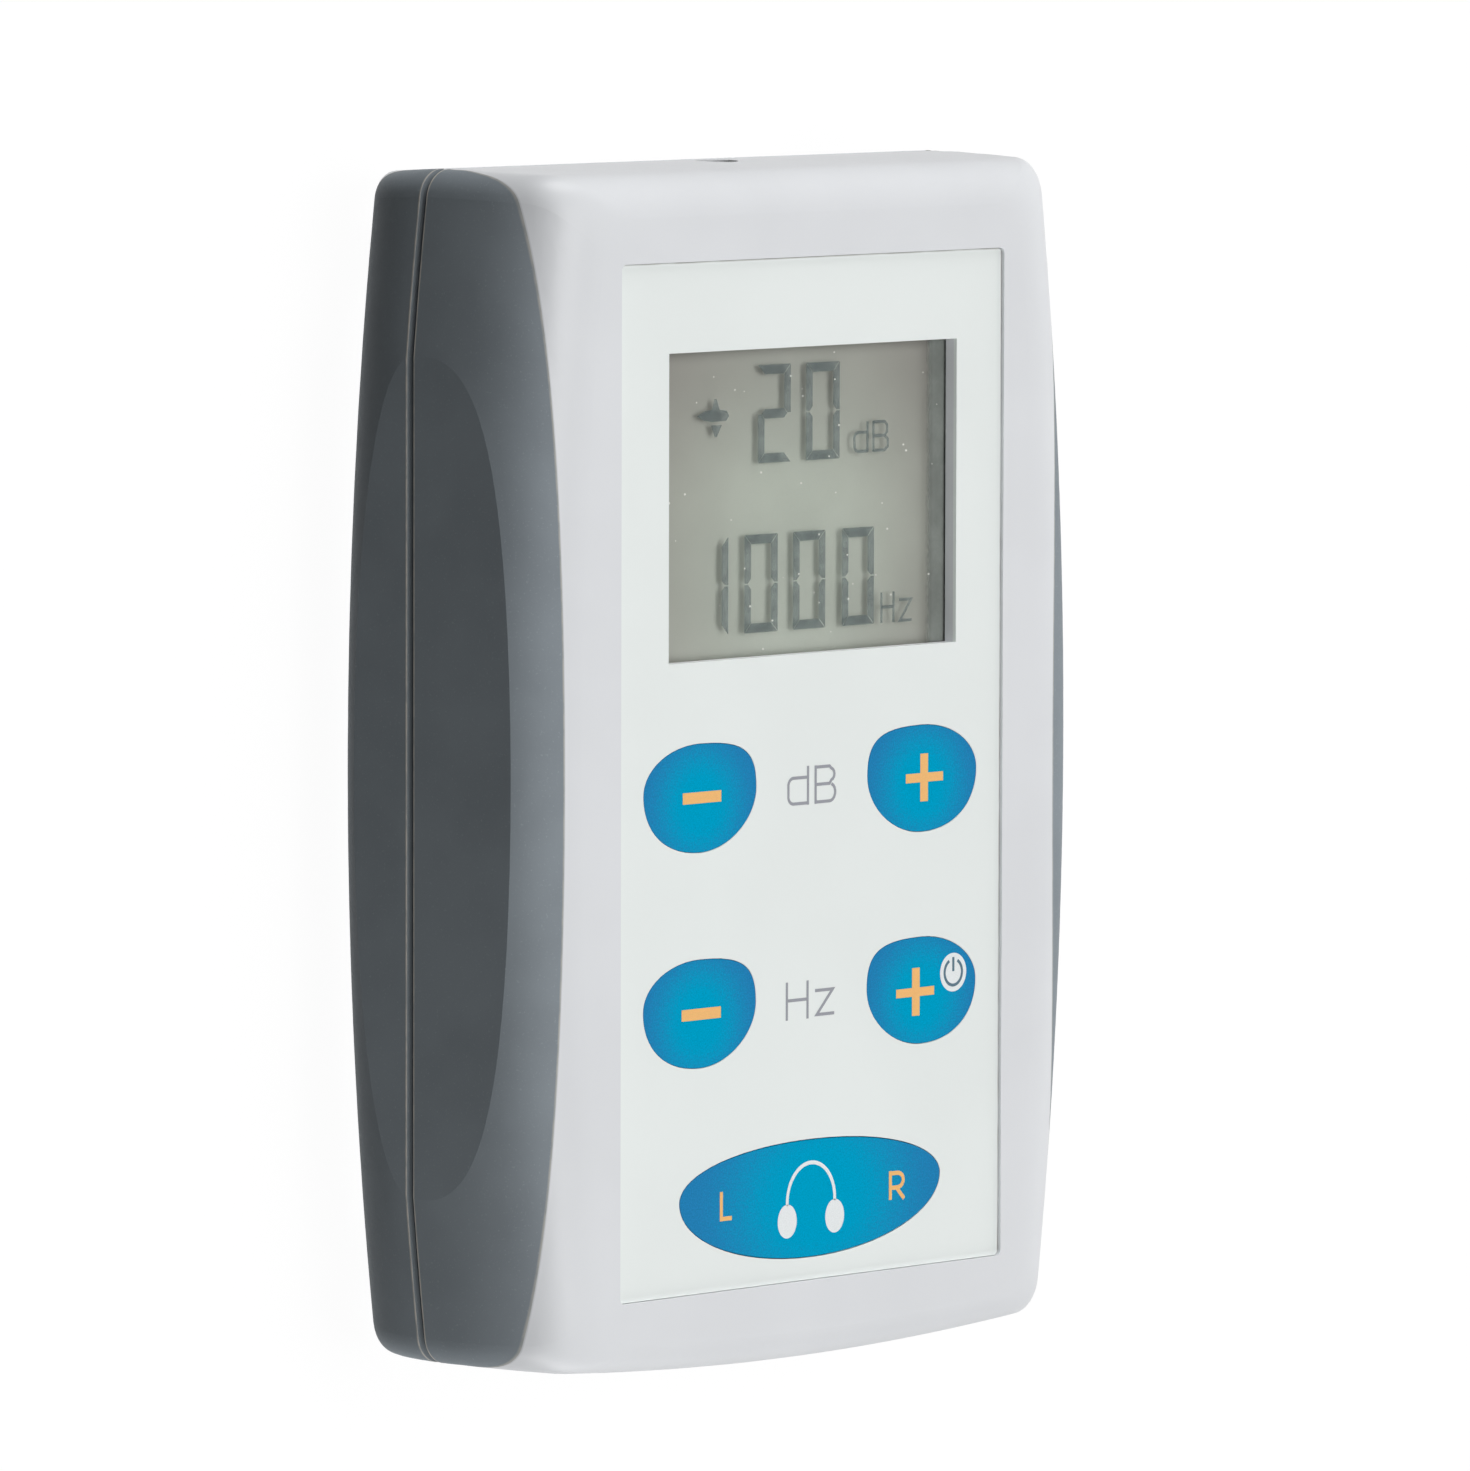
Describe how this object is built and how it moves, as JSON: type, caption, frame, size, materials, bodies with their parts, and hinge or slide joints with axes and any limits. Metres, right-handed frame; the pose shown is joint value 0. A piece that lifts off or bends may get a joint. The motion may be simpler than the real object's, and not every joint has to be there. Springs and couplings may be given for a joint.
{
  "type": "handheld audiometer",
  "caption": "Palm-sized hearing screener: light moulded case with dark soft side grips, liquid crystal window, blue pebble keys and a sliding battery door.",
  "frame": {"origin": "centre of the case on its back plane", "axes": "+Z out of the display side, +Y towards the end with the headphone socket, +X to the reader's right"},
  "size_m": [0.079, 0.117, 0.033],
  "materials": {
    "case_plastic": "fine matt moulded",
    "soft_grip": "satin soft-touch",
    "printed_film": "matt printed polyester",
    "key_film": "satin blue",
    "switch_plastic": "moulded",
    "plunger_plastic": "moulded",
    "display_glass": "clear",
    "display_reflector": "grey-green reflective film",
    "gasket_foam": "foam",
    "zebra_rubber": "layered",
    "frame_plastic": "moulded",
    "circuit_board": "solder mask",
    "chip_resin": "moulded resin",
    "component_can": "drawn can",
    "nickel": "nickel plated",
    "jack_plastic": "moulded",
    "battery_jacket": "plain printed jacket",
    "snap_plastic": "soft vinyl",
    "lead_red": "vinyl",
    "lead_black": "vinyl",
    "screw_steel": "zinc plated"
  },
  "bodies": {
    "case": {"amplifier_chip": "chip_resin", "battery": "battery_jacket", "battery_snap": "snap_plastic", "board_screws": "screw_steel", "capacitor_left": "component_can", "capacitor_right": "component_can", "case_screws": "screw_steel", "codec_chip": "chip_resin", "controller_chip": "chip_resin", "crystal": "component_can", "display_frame": "frame_plastic", "display_gasket": "gasket_foam", "display_glass": "display_glass", "display_reflector": "display_reflector", "front_grip_left": "soft_grip", "front_grip_right": "soft_grip", "front_shell": "case_plastic", "jack_body": "jack_plastic", "jack_contacts": "nickel", "jack_sleeve": "nickel", "lead_negative": "lead_black", "lead_positive": "lead_red", "main_board": "circuit_board", "memory_chip": "chip_resin", "overlay": "printed_film", "rear_grip_left": "soft_grip", "rear_grip_right": "soft_grip", "rear_shell": "case_plastic", "regulator_chip": "chip_resin", "switch_db_down": "switch_plastic", "switch_db_up": "switch_plastic", "switch_hz_down": "switch_plastic", "switch_hz_up": "switch_plastic", "switch_left": "switch_plastic", "switch_right": "switch_plastic", "zebra_bottom": "zebra_rubber", "zebra_top": "zebra_rubber"},
    "key_db_down": {"key_db_down": "key_film", "plunger_db_down": "plunger_plastic"},
    "key_db_up": {"key_db_up": "key_film", "plunger_db_up": "plunger_plastic"},
    "key_hz_down": {"key_hz_down": "key_film", "plunger_hz_down": "plunger_plastic"},
    "key_hz_up": {"key_hz_up": "key_film", "plunger_hz_up": "plunger_plastic"},
    "ear_key": {"key_ear": "key_film", "plunger_left": "plunger_plastic", "plunger_right": "plunger_plastic"},
    "battery_door": {"battery_door": "case_plastic"}
  },
  "joints": [
    {"name": "press_db_down", "type": "slide", "parent": "case", "child": "key_db_down", "axis": [0, 0, -1], "range_m": [0, 0.0003], "stiffness_N_per_m": 3000},
    {"name": "press_db_up", "type": "slide", "parent": "case", "child": "key_db_up", "axis": [0, 0, -1], "range_m": [0, 0.0003], "stiffness_N_per_m": 3000},
    {"name": "press_hz_down", "type": "slide", "parent": "case", "child": "key_hz_down", "axis": [0, 0, -1], "range_m": [0, 0.0003], "stiffness_N_per_m": 3000},
    {"name": "press_hz_up", "type": "slide", "parent": "case", "child": "key_hz_up", "axis": [0, 0, -1], "range_m": [0, 0.0003], "stiffness_N_per_m": 3000},
    {"name": "ear_rocker", "type": "hinge", "parent": "case", "child": "ear_key", "pos_m": [0, -0.0416, 0.0292], "axis": [0, 1, 0], "range_deg": [-1, 1], "stiffness_Nm_per_rad": 0.5},
    {"name": "battery_door_slide", "type": "slide", "parent": "case", "child": "battery_door", "axis": [0, -1, 0], "range_m": [0, 0.03]}
  ]
}
